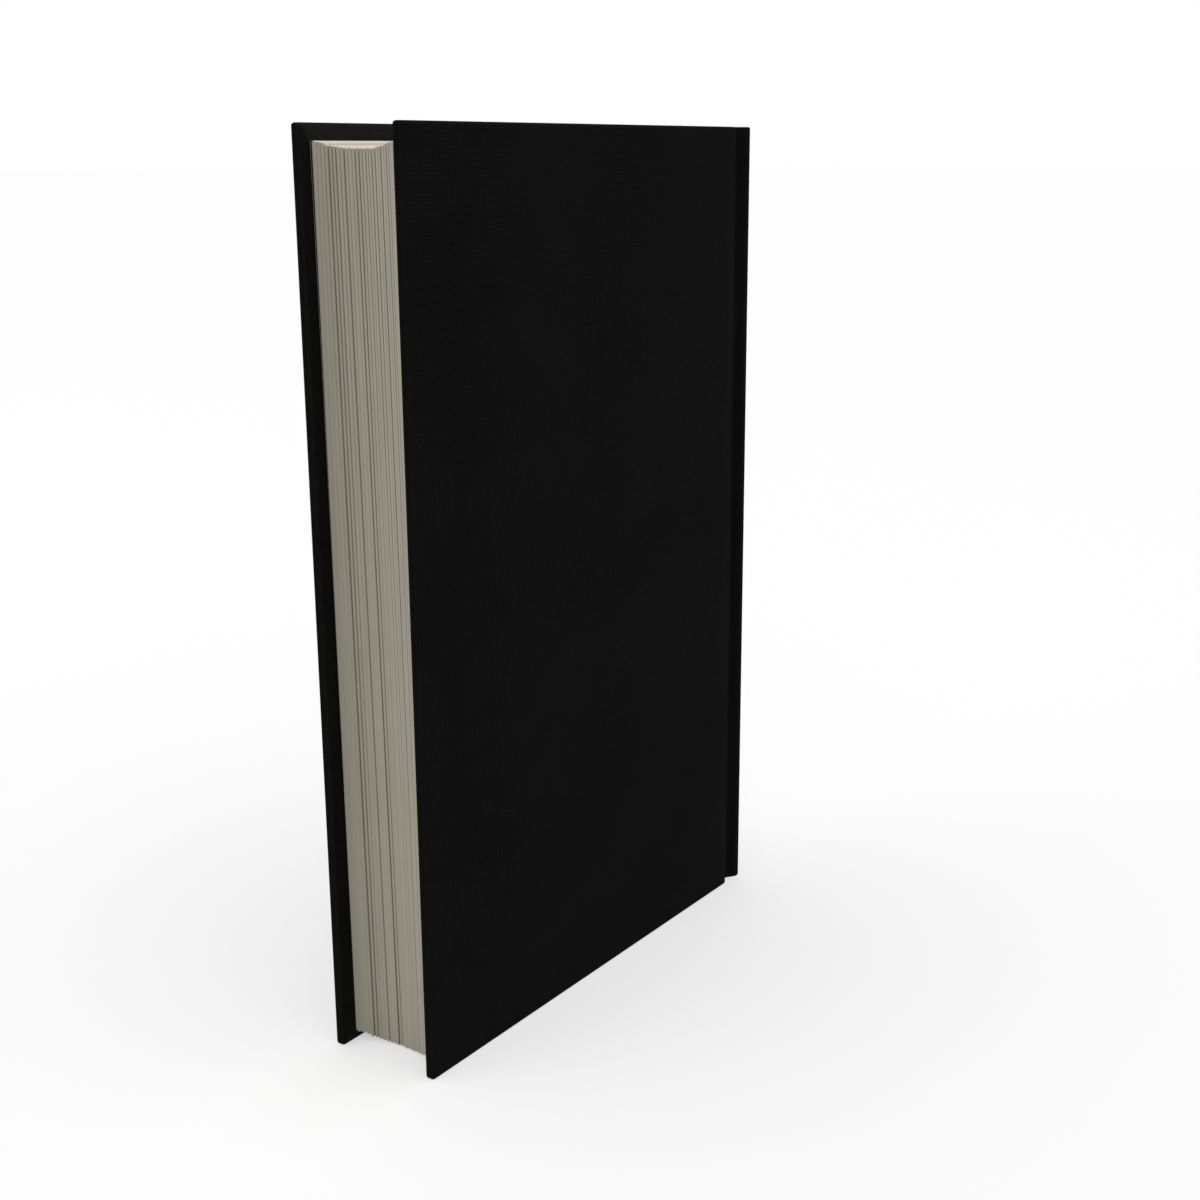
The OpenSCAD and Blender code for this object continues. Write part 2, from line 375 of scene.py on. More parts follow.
def leaf_paper():
    """Cream book paper seen on its trimmed edges: fine streaks along the leaves, and a fore-edge darker than
    the head, partly toned and partly painted shade, with painted shade towards the front cover, between the
    sections and in a line across the head.
    """
    leaf_t = 0.13 * MM
    head_line_h = 4 * MM
    material, nodes, shader = new_material("leaf_paper", Specular_IOR_Level=0.2, Roughness=0.9)
    place = nodes.add("ShaderNodeAttribute", {"attribute_name": LEAF}, output="Vector")
    x, y, z = nodes.parts(place)
    fine = nodes.noise(nodes.vector(x * 5200, y * 26, z * 18), detail=3, roughness=0.65)
    broad = nodes.noise(nodes.vector(x * 820, y * 5, z * 4), detail=2)
    blotch = nodes.noise(nodes.vector(x * 60, y * 45, z * 38), detail=4)
    leaves = abs((x * (math.pi / leaf_t) + broad * 9).sin()) - 0.64
    # Painted shade: the fore-edge is a darker copy of the head's paper, partly toning and partly the shade
    # that falls on it, and painted shade makes it darker still towards the front cover.
    fore = 1 - y.ramp(0, 0.35 * MM)
    head = colour(0.79, 0.72, 0.63)
    toned_and_shaded = nodes.mix(x.ramp(-12 * MM, 10 * MM), colour(0.415, 0.383, 0.31), colour(0.56, 0.52, 0.43))
    base = nodes.mix(fore, head, toned_and_shaded)
    # Painted shade between the sections, as deep as the gaps beside them are open.
    groove = nodes.add("ShaderNodeAttribute", {"attribute_name": GAP_SHADE}, output="Fac")
    # Painted shade: a thin grey line across the head, a little behind the fore-edge, broken up by noise.
    at_head_line = 1 - abs(y - HEAD_LINE_DEPTH + blotch * MM / 2).ramp(0.08 * MM, 0.3 * MM)
    head_line_shade = at_head_line * (z > head_z - head_line_h) * broad.ramp(0.35, 0.55)
    # The leaves' streaks, with the painted shade between the sections and along the line across the head
    # taken off.
    streaks_and_shade = 1 + leaves * 0.14 + (fine - 0.5) * 0.26 + (broad - 0.5) * 0.08 + (blotch - 0.5) * 0.08
    streaks_and_shade = streaks_and_shade - groove * 0.5 - head_line_shade * 0.5
    grey = nodes.add("ShaderNodeCombineColor", {}, {0: streaks_and_shade, 1: streaks_and_shade, 2: streaks_and_shade})
    nodes.fill(shader.inputs["Base Color"], nodes.mix(1.0, base, grey, "MULTIPLY"))
    nodes.fill(shader.inputs["Normal"], nodes.bump(fine, 0.05 * MM, 0.6))
    return material


def black_paper():
    """Matt black endpaper with short fibres, and a greyer cut edge, partly its own paler core and partly a
    painted highlight.
    """
    material, nodes, shader = new_material("black_paper", Specular_IOR_Level=0.15)
    place = nodes.add("ShaderNodeTexCoord", output="Object")
    fibres = nodes.noise(place, 2600, detail=4, roughness=0.7)
    clouds = nodes.noise(place, 70, detail=3)
    cut_and_highlight = nodes.add("ShaderNodeAttribute", {"attribute_name": RUB_AND_LIGHT}, output="Fac")
    dark = nodes.mix(fibres.ramp(0.35, 0.75), colour(0.006, 0.006, 0.0065), colour(0.019, 0.019, 0.02))
    flat = nodes.mix(clouds.ramp(0.4, 0.7) * 0.4, dark, colour(0.02, 0.0195, 0.019))
    # The cut edges are greyer: partly the paper's own core, partly a painted highlight.
    edge = nodes.mix(cut_and_highlight * (0.6 + fibres * 0.4), flat, colour(0.28, 0.27, 0.25))
    nodes.fill(shader.inputs["Base Color"], edge)
    nodes.fill(shader.inputs["Roughness"], 0.82 + fibres * 0.12)
    nodes.fill(shader.inputs["Normal"], nodes.bump(fibres, 0.03 * MM, 0.5))
    return material


def greyboard():
    """Pressed grey pulp with pale and dark specks."""
    material, nodes, shader = new_material("greyboard", Specular_IOR_Level=0.2)
    place = nodes.add("ShaderNodeTexCoord", output="Object")
    pulp = nodes.noise(place, 900, detail=5, roughness=0.7)
    specks = nodes.noise(place, 2400, detail=1)
    base = nodes.mix(pulp, colour(0.2, 0.18, 0.15), colour(0.4, 0.365, 0.31))
    pale = nodes.mix(specks.ramp(0.68, 0.74), base, colour(0.62, 0.6, 0.56))
    specked = nodes.mix(1 - specks.ramp(0.26, 0.32), pale, colour(0.07, 0.065, 0.07))
    nodes.fill(shader.inputs["Base Color"], specked)
    nodes.fill(shader.inputs["Roughness"], 0.8 + pulp * 0.15)
    nodes.fill(shader.inputs["Normal"], nodes.bump(pulp, 0.08 * MM, 0.6))
    return material


def sized_mull():
    """Open cotton gauze: thin threads with dark square holes, stiff with size."""
    material, nodes, shader = new_material("sized_mull", Specular_IOR_Level=0.25)
    place = nodes.add("ShaderNodeTexCoord", output="Object")
    x, y, z = nodes.parts(place)
    pitch = 1.1 * MM
    wander = nodes.noise(place, 300, detail=1) - 0.5
    upright = abs((((x + y) / pitch + wander * 0.5) * math.pi).sin())
    level = abs(((z / pitch + wander * 0.5) * math.pi).sin())
    thread = upright.ramp(0.62, 0.8).math("MAXIMUM", level.ramp(0.62, 0.8))
    yarn = nodes.noise(place, 4000, detail=2)
    cotton = nodes.mix(yarn, colour(0.6, 0.56, 0.47), colour(0.82, 0.79, 0.71))
    nodes.fill(shader.inputs["Base Color"], nodes.mix(thread, colour(0.2, 0.165, 0.12), cotton))
    nodes.fill(shader.inputs["Roughness"], 0.9 - thread * 0.12)
    nodes.fill(shader.inputs["Normal"], nodes.bump(thread + yarn * 0.2, 0.15 * MM, 0.8))
    return material


def kraft_lining():
    """Brown kraft paper with long fibres and a faint rib along the spine."""
    rib_pitch = 1.6 * MM
    material, nodes, shader = new_material("kraft_lining", Specular_IOR_Level=0.25)
    place = nodes.add("ShaderNodeTexCoord", output="Object")
    x, y, z = nodes.parts(place)
    fibres = nodes.noise(nodes.vector(x * 1800, y * 1800, z * 260), detail=4, roughness=0.7)
    rib = (z * (2 * math.pi / rib_pitch)).sin() * 0.5 + 0.5
    base = nodes.mix(fibres, colour(0.3, 0.17, 0.075), colour(0.52, 0.34, 0.18))
    nodes.fill(shader.inputs["Base Color"], nodes.mix(rib * 0.25, base, colour(0.26, 0.15, 0.07)))
    nodes.fill(shader.inputs["Roughness"], 0.7 + fibres * 0.2)
    nodes.fill(shader.inputs["Normal"], nodes.bump(fibres + rib * 0.3, 0.05 * MM, 0.6))
    return material


def band_silk():
    """Black silk wound over a cord, with a soft shine along each turn."""
    material, nodes, shader = new_material(
        "band_silk", Specular_IOR_Level=0.25, Sheen_Weight=0.1, Sheen_Roughness=0.3
    )
    place = nodes.add("ShaderNodeTexCoord", output="Object")
    x, y, z = nodes.parts(place)
    strands = nodes.noise(nodes.vector(x * 9000, y * 1500, z * 1500), detail=2)
    dust = nodes.noise(place, 500, detail=3)
    dyed = nodes.mix(strands, colour(0.008, 0.008, 0.009), colour(0.035, 0.035, 0.038))
    dusty = nodes.mix(dust.ramp(0.55, 0.8) * 0.4, dyed, colour(0.07, 0.066, 0.06))
    nodes.fill(shader.inputs["Base Color"], dusty)
    nodes.fill(shader.inputs["Roughness"], 0.42 + strands * 0.25)
    nodes.fill(shader.inputs["Normal"], nodes.bump(strands, 0.03 * MM, 0.6))
    return material


# The case: cloth over the boards and the spine, turned in all round

class Skin:
    """Points, each with how worn it is, plus painted light on the cloth's head and foot turn-ins and a partly
    painted highlight on paper's cut edges, and faces with the sheet's own flat coordinates at each corner.
    """

    def __init__(self):
        self.points = []
        self.rub = []
        self.faces = []
        self.flat = []

    def add_point(self, point, rub):
        self.points.append(point)
        self.rub.append(rub)
        return len(self.points) - 1

    def add_face(self, corners):
        """Each corner is its point's index and its flat u and v."""
        self.faces.append([c[0] for c in corners])
        self.flat.extend((c[1], c[2]) for c in corners)

    def mesh(self, name, mirrored):
        side = -1 if mirrored else 1
        mesh = bpy.data.meshes.new(name)
        mesh.from_pydata([(side * x, y, z) for x, y, z in self.points], [], self.faces)
        layer = mesh.uv_layers.new(name=CLOTH_UV)
        layer.data.foreach_set("uv", np.array(self.flat, np.float32).ravel())
        rub = np.array([self.rub[point] for face in self.faces for point in face], np.float32)
        mesh.attributes.new(RUB_AND_LIGHT, "FLOAT", "CORNER").data.foreach_set("value", rub)
        if mirrored:
            mesh.flip_normals()
        return mesh


def smooth(t):
    """From 0 to 1 as t does, without a kink at either end."""
    c = np.clip(t, 0, 1)
    return c * c * (3 - 2 * c)


def groove_x(d):
    """Outside of the cloth in the joint, at the distance d from where the joint starts at the shoulder."""
    sink = smooth(d / SHOULDER_SLOPE) * smooth((groove_w - d) / BOARD_SLOPE)
    return cover_x - (cover_x - groove_floor_x) * sink


def shoulder_arc():
    """The rounded shoulder between the spine and the joint: its centre's y, and the angle where it starts."""
    centre_y = spine_y + math.sqrt((spine_r - SHOULDER_R) ** 2 - (cover_x - SHOULDER_R) ** 2)
    return centre_y, math.atan2(cover_x - SHOULDER_R, centre_y - spine_y)


RINGS = 4                    # lines round the rounding of an edge; a line with this number lies past it
RING_TURN = [math.pi / 2 * k / RINGS for k in range(RINGS + 1)]
SIDE_RINGS = 2               # lines on the flat part of an edge
BORDER = [r * MM for r in (1.3, 2.1, 3, 4.2, 6, 9, 12)] + [TURN_IN]


class Across:
    """One of the upright lines of the cloth: its plan point and outward normal, the hem's thickness there,
    its flat place across the cloth, its wear, its ring and how far it is in from the fore-edge."""

    def __init__(self, point, normal, hem, place, rub=0.0, ring=RINGS, inset=FAR):
        self.point = Vector(point)
        self.normal = Vector(normal)
        self.hem = hem
        self.edge_r = min(EDGE_R, hem * EDGE_SHARE)
        self.place = place
        self.rub = rub
        self.ring = ring
        self.inset = inset


class Up:
    """One of the level lines of the cloth: its ring and how far it is in from the foot or the head."""

    def __init__(self, at_head, ring, inset):
        self.at_head = at_head
        self.ring = ring
        self.inset = inset

    def depth(self, edge_r):
        """How far in from the edge the line is, straight and measured along the cloth."""
        if self.ring < RINGS:
            turn = RING_TURN[self.ring]
            return edge_r * (1 - math.cos(turn)), edge_r - edge_r * (math.pi / 2 - turn)
        return max(self.inset, edge_r), max(self.inset, edge_r)

    def height(self, depth):
        return cover_h - depth if self.at_head else depth


def lines_up():
    steps = 22
    foot = [Up(False, k, 0) for k in range(RINGS)] + [Up(False, RINGS, EDGE_R)]
    foot += [Up(False, RINGS, inset) for inset in BORDER]
    middle = [Up(False, RINGS, TURN_IN + (cover_h - 2 * TURN_IN) * k / steps) for k in range(1, steps)]
    head = [Up(True, RINGS, inset) for inset in reversed(BORDER)]
    head += [Up(True, RINGS, EDGE_R)] + [Up(True, k, 0) for k in reversed(range(RINGS))]
    return foot + middle + head


def lines_across_spine():
    steps, shoulder_wear = 34, 0.25
    _, start = shoulder_arc()
    lines = []
    for k in range(steps + 1):
        a = start * (2 * k / steps - 1)
        normal = Vector((math.sin(a), math.cos(a)))
        point = (spine_r * math.sin(a), spine_y + spine_r * math.cos(a))
        lines.append(Across(point, normal, SPINE_T, spine_r * a, shoulder_wear * abs(a / start) ** 6))
    return lines


def lines_across_cover():
    """From the shoulder through the joint, over the board and round its fore-edge."""
    centre_y, start = shoulder_arc()
    shoulder_steps, joint_steps, board_steps = 7, 32, 26
    shoulder_wear, joint_wear, board_wear = 0.25, 0.4, 0.3
    joint_worn, ridge_worn, board_worn = 1.2 * MM, 0.8 * MM, 5 * MM
    thick_run = 3 * MM
    straight_from, straight_run = 0.4, 0.15
    lines = []
    place = spine_r * start
    for k in range(shoulder_steps):
        a = start + (math.pi / 2 - start) * k / shoulder_steps
        point = (cover_x - SHOULDER_R + SHOULDER_R * math.sin(a), centre_y + SHOULDER_R * math.cos(a))
        rub = shoulder_wear + board_wear * (a > start)
        lines.append(Across(point, (math.sin(a), math.cos(a)), SPINE_T, place, rub))
        place += SHOULDER_R * (math.pi / 2 - start) / shoulder_steps
    last = Vector((cover_x, centre_y))
    for k in range(joint_steps + 1):
        d = groove_w * k / joint_steps
        point = Vector((groove_x(d), fold_y - d))
        step = groove_w / joint_steps / 2
        tangent = Vector((groove_x(d + step) - groove_x(d - step), -2 * step)).normalized()
        place += (point - last).length
        last = point
        slope = 1 - smooth((d / groove_w - straight_from) / straight_run)
        normal = Vector((1, 0)).lerp(Vector((-tangent.y, tangent.x)), slope).normalized()
        falling = JOINT_T + (SPINE_T - JOINT_T) * (1 - smooth(d / thick_run))
        hem = falling if d < groove_w / 2 else max(JOINT_T, point.x - folded_x)
        rub = joint_wear * (1 - smooth(d / joint_worn))
        rub += board_wear * smooth((d - groove_w + ridge_worn) / ridge_worn)
        lines.append(Across(point, normal, hem, place, rub))
    hem = cover_x - folded_x
    flat_end = fore_y + TURN_IN
    for k in range(1, board_steps + 1):
        y = board_y + (flat_end - board_y) * k / board_steps
        rub = board_wear * (1 - smooth((board_y - y) / board_worn))
        lines.append(Across((cover_x, y), (1, 0), hem, place + board_y - y, rub, RINGS, y - fore_y))
    end = place + board_y - fore_y
    for inset in [*reversed(BORDER[:-1]), EDGE_R]:
        lines.append(Across((cover_x, fore_y + inset), (1, 0), hem, end - inset, 0, RINGS, inset))
    for ring in reversed(range(RINGS)):
        turn = RING_TURN[ring]
        inset = EDGE_R * (1 - math.cos(turn))
        unrolled = end - EDGE_R + EDGE_R * (math.pi / 2 - turn)
        lines.append(Across((cover_x, fore_y + inset), (1, 0), hem, unrolled, 1, ring, inset))
    return lines


def skin_spot(line, up):
    """Where two lines cross: plan point, height, drop from the outer face and flat place up the cloth."""
    r = line.edge_r
    depth, unrolled = up.depth(r)
    point = line.point.copy()
    turn = RING_TURN[min(line.ring, up.ring)]
    if line.ring < RINGS and up.ring < RINGS:
        a, b = math.cos(RING_TURN[line.ring]), math.cos(RING_TURN[up.ring])
        shrink = max(a, b) / math.hypot(a, b)
        point.y = fore_y + r * (1 - a * shrink)
        depth = r * (1 - b * shrink)
    return point, up.height(depth), r * (1 - math.sin(turn)), up.height(unrolled)


def wrap_cloth(name, lines, mirrored=False, closed_fore=False):
    """Cloth over the outer face, round the edges and turned in on the inner face, as one walled sheet."""
    skin = Skin()
    ups = lines_up()
    rows, columns = range(len(lines)), range(len(ups))

    def place_grid(inner):
        grid = {}
        for i in rows:
            for j in columns:
                line, up = lines[i], ups[j]
                if inner and min(line.inset, up.inset) > TURN_IN + MM / 10:
                    continue
                point, z, drop, flat_v = skin_spot(line, up)
                reach = line.hem - drop if inner else drop
                plan = point - line.normal * reach
                rub = EDGE_WEAR * (line.rub if line.ring == up.ring == RINGS else 1)
                # On the head and foot turn-ins this paleness is partly painted light.
                if inner:
                    rub = HEM_WEAR_AND_LIGHT if up.inset <= line.inset else EDGE_WEAR
                grid[i, j] = skin.add_point((plan.x, plan.y, z), rub), flat_v
        return grid

    outer, inner = place_grid(False), place_grid(True)

    def corner(grid, i, j, u=None, v=None):
        index, flat_v = grid[i, j]
        return index, lines[i].place if u is None else u, flat_v if v is None else v

    for i in rows[:-1]:
        for j in columns[:-1]:
            cells = [(i, j), (i, j + 1), (i + 1, j + 1), (i + 1, j)]
            skin.add_face([corner(outer, *c) for c in cells])

    def inner_corner(i, j, on_fore):
        line, up = lines[i], ups[j]
        around = line.hem - 2 * line.edge_r + line.edge_r * math.pi
        if on_fore:
            far = lines[-1].place + around - line.edge_r * math.pi / 2 + line.inset
            return corner(inner, i, j, u=far)
        _, unrolled = up.depth(line.edge_r)
        beyond = around - 2 * line.edge_r + unrolled
        return corner(inner, i, j, v=cover_h + beyond if up.at_head else -beyond)

    for i in rows[:-1]:
        for j in columns[:-1]:
            cells = [(i + 1, j), (i + 1, j + 1), (i, j + 1), (i, j)]
            if any(c not in inner for c in cells):
                continue
            fore = max(lines[c[0]].inset for c in cells)
            rise = max(ups[c[1]].inset for c in cells)
            skin.add_face([inner_corner(*c, closed_fore and fore < rise) for c in cells])

    side_points = {}

    def side(loop, on_fore):
        """The cloth over one edge of the board, from its outer to its inner rounding."""
        levels = [outer]
        for ring in range(1, SIDE_RINGS + 1):
            grid = {}
            for i, j in loop:
                point, z, drop, flat_v = skin_spot(lines[i], ups[j])
                share = ring / (SIDE_RINGS + 1)
                reach = drop + (lines[i].hem - 2 * drop) * share
                plan = point - lines[i].normal * reach
                key = (i, j, ring)
                if key not in side_points:
                    side_points[key] = skin.add_point((plan.x, plan.y, z), 0)
                grid[i, j] = side_points[key], flat_v
            levels.append(grid)
        levels.append(inner)
        for level, (near, far) in enumerate(zip(levels, levels[1:])):
            for first, second in zip(loop, loop[1:]):
                cells = [
                    (near, first, level), (far, first, level + 1),
                    (far, second, level + 1), (near, second, level),
                ]
                corners = []
                for grid, (i, j), rise in cells:
                    spread = (lines[i].hem - 2 * lines[i].edge_r) * rise / (SIDE_RINGS + 1)
                    index, flat_v = grid[i, j]
                    if on_fore:
                        corners.append((index, lines[i].place + spread, flat_v))
                    else:
                        outward = spread if ups[j].at_head else -spread
                        corners.append((index, lines[i].place, flat_v + outward))
                skin.add_face(corners)

    last_row, last_column = rows[-1], columns[-1]
    side([(i, 0) for i in reversed(rows)], False)
    side([(i, last_column) for i in rows], False)
    if closed_fore:
        side([(last_row, j) for j in reversed(columns)], True)

    piece = in_scene(name, skin.mesh(name, mirrored))
    wall = piece.modifiers.new("wall", "SOLIDIFY")
    wall.thickness = SKIN_T
    wall.offset = -1
    return finished(piece, cloth, 40)


def finished(piece, material, sharp_angle):
    """The piece as a plain mesh with its modifiers applied, smooth apart from its sharp edges."""
    bpy.context.view_layer.update()
    evaluated = piece.evaluated_get(bpy.context.evaluated_depsgraph_get())
    mesh = bpy.data.meshes.new_from_object(evaluated)
    piece.modifiers.clear()
    piece.data = mesh
    mesh.materials.clear()
    mesh.materials.append(material)
    mesh.shade_smooth()
    mesh.set_sharp_from_angle(angle=math.radians(sharp_angle))
    return piece


# The leaves, by Geometry Nodes

def new_tree(name, inputs):
    tree = bpy.data.node_groups.new(name, "GeometryNodeTree")
    tree.interface.new_socket(name="Geometry", in_out="OUTPUT", socket_type="NodeSocketGeometry")
    for label, (kind, value) in inputs.items():
        socket = tree.interface.new_socket(name=label, in_out="INPUT", socket_type=kind)
        if kind != "NodeSocketMaterial":
            socket.default_value = value
    nodes = Nodes(tree)
    entry = tree.nodes.new("NodeGroupInput")
    given = {s.name: Value(nodes, s) if s.type in ("VALUE", "INT") else s for s in entry.outputs if s.name}
    return tree, nodes, given


def end_tree(nodes, geometry, material):
    """Closes a tree: what it made as real faces, in its material."""
    real = nodes.add("GeometryNodeRealizeInstances", {}, {0: geometry})
    dressed = nodes.add("GeometryNodeSetMaterial", {}, {"Geometry": real, "Material": material})
    nodes.add("NodeGroupOutput", {}, {"Geometry": dressed})


def grown(name, tree, values, material, sharp_angle):
    """A plain mesh object made by a tree with these values of its named inputs."""
    piece = in_scene(name, bpy.data.meshes.new(name))
    maker = piece.modifiers.new("maker", "NODES")
    maker.node_group = tree
    sockets = {s.name: s.identifier for s in tree.interface.items_tree if s.in_out == "INPUT"}
    for label, value in values.items():
        maker[sockets[label]] = value
    return finished(piece, material, sharp_angle)


def leaves_tree():
    """Sewn sections side by side: hollow fore-edge, round back, fanned shoulders, and leaves that sag."""
    number, whole, stuff = "NodeSocketFloat", "NodeSocketInt", "NodeSocketMaterial"
    tree, nodes, given = new_tree("sewn_sections", {
        "Sections": (whole, SECTIONS),
        "Half Thickness": (number, leaves_x),
        "Shoulder Tip": (number, tip_x),
        "Back Radius": (number, text_r),
        "Back Centre": (number, spine_y),
        "Fore Edge": (number, text_y),
        "Hollow": (number, FORE_HOLLOW),
        "Foot": (number, foot_z),
        "Height": (number, head_z - foot_z),
        "Head Sag": (number, HEAD_SAG),
        "Foot Sag": (number, FOOT_SAG),
        "Head Lean": (number, HEAD_LEAN),
        "Head Pinch": (number, HEAD_PINCH),
        "Gap": (number, HALF_GAP),
        "Bulge": (number, SECTION_BULGE),
        "Seed": (number, 3.0),
        "Paper": (stuff, None),
    })
    spots = nodes.add("GeometryNodeMeshLine", {}, {"Count": given["Sections"], "Offset": (0, 0, 0)})
    numbered = nodes.add(
        "GeometryNodeStoreNamedAttribute", {"data_type": "FLOAT", "domain": "POINT"},
        {"Geometry": spots, "Name": "section", "Value": nodes.add("GeometryNodeInputIndex")},
    )
    section = nodes.add(
        "GeometryNodeMeshCube", {},
        {"Size": (1, 1, 1), "Vertices X": 6, "Vertices Y": 16, "Vertices Z": 44},
    )
    placed = nodes.add("GeometryNodeInstanceOnPoints", {}, {"Points": numbered, "Instance": section})
    block = nodes.add("GeometryNodeRealizeInstances", {}, {0: placed})

    k = nodes.add("GeometryNodeInputNamedAttribute", {"data_type": "FLOAT"}, {"Name": "section"})
    count = given["Sections"]
    seed = given["Seed"]
    px, py, pz = nodes.parts(nodes.add("GeometryNodeInputPosition"))
    across = px + 0.5
    along = py + 0.5
    up = pz + 0.5

    def chance(value, salt):
        """A random number from -0.5 to 0.5; the salt keeps one use of it apart from the others."""
        spot = value * 1.37 + seed + salt
        return nodes.add("ShaderNodeTexWhiteNoise", {"noise_dimensions": "1D"}, {"W": spot}) - 0.5

    def edge_place(index):
        """Where two sections meet, from -1 to 1; they lean towards the front cover at the head."""
        inside = (index > 0.5) * (index < count - 0.5)
        share = index / count
        slant = share * (1 - share).clipped() ** 1.5 * SLANT * (UPRIGHT_AT - up)
        return (index + slant + chance(index, 11) * inside * MEETING_SPREAD) * 2 / count - 1

    def gap_width(index):
        """The gap between two sections at the fore-edge, in tenths of a millimetre."""
        wave = nodes.noise(nodes.vector(index * 7.31 + seed, up * 2.2, 0), detail=1)
        open_head = up ** 2.5 * HEAD_GAP + wave.ramp(0.56, 0.70) * up * WAVY_GAP
        width = CLOSED_GAP + open_head * index.ramp(0.5, HIGH_SECTIONS)
        for gap, at_foot, at_head in OPEN_GAPS:
            width = width + (abs(index - gap) < 0.5) * (at_foot + (at_head - at_foot) * up)
        inside = (index > 0.5) * (index < count - 0.5)
        return width * inside

    flat_share = (along / FLAT_ROWS).clipped() ** FLAT_CROWDING
    fan_share = ((along - FLAT_ROWS) / (1 - FLAT_ROWS)).clipped()
    near_fore = 1 - (flat_share / GAPS_END).clipped()
    open_share = near_fore * given["Gap"] / given["Half Thickness"]
    left_gap = gap_width(k)
    right_gap = gap_width(k + 1)
    left = edge_place(k) + left_gap * open_share
    right = edge_place(k + 1) - right_gap * open_share
    u = left.towards(right, across)
    off = abs(u)

    back = (given["Back Radius"] ** 2 - (u * given["Shoulder Tip"]) ** 2).sqrt() + given["Back Centre"]
    bend = back - SHOULDER_RUN - (1 - off) * FAN_RUN
    middle = across * 2 - 1
    uneven = chance(k, 23) * FORE_SPREAD
    swell = (1 - middle ** 2) * given["Bulge"] * (0.2 + up * 0.8)
    lean = given["Head Lean"] * up
    start = given["Fore Edge"] + given["Hollow"] * (1 - u * u) + uneven - swell - lean
    fold = middle ** 4 * BACK_FOLD * fan_share ** 8 * (1 - off ** 16)
    y = start.towards(bend, flat_share).towards(back, fan_share) - fold
    pinch = up ** 3 * near_fore * given["Head Pinch"]
    x = u * (given["Half Thickness"].towards(given["Shoulder Tip"], fan_share ** FAN_CURVE) - pinch)
    head_sag = given["Head Sag"] * (1 - off ** 3) * (1 - u.ramp(0.15, 0.6) * STIFF_SHARE)
    foot_sag = given["Foot Sag"] * (1 - off ** 2)
    sag = foot_sag.towards(head_sag, up) * (1 - flat_share) ** 1.5
    step = chance(k, 37) * HEIGHT_SPREAD - (k > HIGH_SECTIONS - 0.5) * HIGH_STEP
    at_end = (abs(pz) > 0.499) * (middle ** 4 * SCALLOP)
    ends = (pz > 0) * at_end - (pz < 0) * at_end
    scallop = BACK_SCALLOP + (1 - BACK_SCALLOP) * (1 - (flat_share / SCALLOP_END).clipped())
    z = given["Foot"] + up * given["Height"] - sag + step - ends * scallop

    noted = nodes.add(
        "GeometryNodeStoreNamedAttribute", {"data_type": "FLOAT_VECTOR", "domain": "POINT"},
        {"Geometry": block, "Name": LEAF, "Value": nodes.vector(u * given["Half Thickness"], y - start, z)},
    )
    # Painted shade between sections: darker towards a section's sides, as much as the gaps beside it are
    # open, and only in the flat part of the leaves.
    near = left_gap.towards(right_gap, across) * abs(middle) ** 3 * (1 - fan_share)
    gap_shaded = nodes.add(
        "GeometryNodeStoreNamedAttribute", {"data_type": "FLOAT", "domain": "POINT"},
        {"Geometry": noted, "Name": GAP_SHADE, "Value": near.clipped()},
    )
    spot = nodes.vector(x, y, z)
    shaped = nodes.add("GeometryNodeSetPosition", {}, {"Geometry": gap_shaded, "Position": spot})
    end_tree(nodes, shaped, given["Paper"])
    return tree


def leaf_edge(row_flat, row_fan):
    """Plan point on the outermost leaf, at these shares of its flat part and of its turned-out part."""
    x = leaves_x + (tip_x - leaves_x) * row_fan**FAN_CURVE
    return Vector((x, text_y + (bend_y - text_y) * row_flat + (tip_y - bend_y) * row_fan))


def strip_mesh(name, path, thickness, low, high, rises, lean=None, mirrored=False, last_cut_and_highlight=0):
    """A sheet of even thickness that stands upright along a path in plan, with its cut edges marked for a
    greyer colour that is partly a painted highlight.
    It follows the forward lean of the leaves, and the function lean says how far it stands off its path."""
    skin = Skin()
    grid = {}
    for k, point in enumerate(path):
        tangent = (path[min(k + 1, len(path) - 1)] - path[max(k - 1, 0)]).normalized()
        normal = Vector((-tangent.y, tangent.x)) * (1 if tangent.y < 0 else -1)
        for j in range(rises + 1):
            z = low + (high - low) * j / rises
            shift = lean(k, j / rises) if lean else 0
            risen = max(0, (z - foot_z) / (head_z - foot_z))
            forward = HEAD_LEAN * risen * max(0, (bend_y - point.y) / (bend_y - text_y))
            for face in (0, 1):
                plan = point + normal * (shift + thickness * face)
                grid[k, j, face] = (plan.x, plan.y - forward, z)
    last = len(path) - 1

    # cut_and_highlight marks the cut edges, whose greyer colour is partly a painted highlight.
    def patch(cells, cut_and_highlight):
        indices = [skin.add_point(grid[c], cut_and_highlight) for c in cells]
        skin.add_face([(i, 0, 0) for i in indices])

    for k in range(last):
        for j in range(rises):
            patch([(k, j, 1), (k + 1, j, 1), (k + 1, j + 1, 1), (k, j + 1, 1)], 0)
            patch([(k, j + 1, 0), (k + 1, j + 1, 0), (k + 1, j, 0), (k, j, 0)], 0)
        patch([(k, 0, 0), (k + 1, 0, 0), (k + 1, 0, 1), (k, 0, 1)], 1)
        patch([(k, rises, 1), (k + 1, rises, 1), (k + 1, rises, 0), (k, rises, 0)], 1)
    for j in range(rises):
        patch([(0, j, 0), (0, j, 1), (0, j + 1, 1), (0, j + 1, 0)], 0)
        patch([(last, j + 1, 0), (last, j + 1, 1), (last, j, 1), (last, j, 0)], last_cut_and_highlight)
    return in_scene(name, skin.mesh(name, mirrored))


